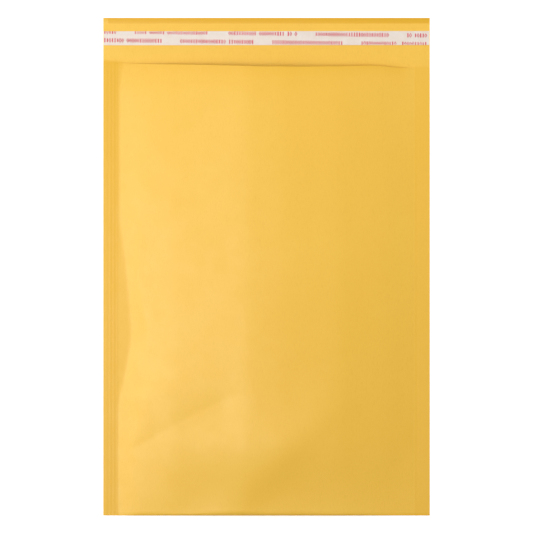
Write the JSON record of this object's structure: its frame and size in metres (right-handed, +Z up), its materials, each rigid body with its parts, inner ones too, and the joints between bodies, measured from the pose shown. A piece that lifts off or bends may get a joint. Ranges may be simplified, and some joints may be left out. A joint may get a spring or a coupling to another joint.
{
  "type": "padded envelope",
  "caption": "Kraft paper envelope lined with bubble film, lying open and empty on its back, with side seams, a bottom fold and a self-seal flap under a release strip.",
  "frame": {"origin": "on the table, under the middle of the envelope's length and width", "axes": "+Z up, out of the front face; +Y from the bottom fold to the tip of the open flap; +X to the right seen from above"},
  "size_m": [0.2666, 0.4064, 0.0127],
  "materials": {
    "kraft_paper": "golden kraft, machine glazed, with a soft sheen and fine fibres",
    "bubble_film": "clear polyethylene bubble film",
    "hot_melt_adhesive": "pale amber pressure-sensitive adhesive",
    "release_paper": "off-white siliconised release paper with small pink printed marks"
  },
  "bodies": {
    "root": {"kraft_cover": "kraft_paper", "bubble_liner": "bubble_film", "adhesive_strip": "hot_melt_adhesive", "release_strip": "release_paper"}
  },
  "joints": []
}
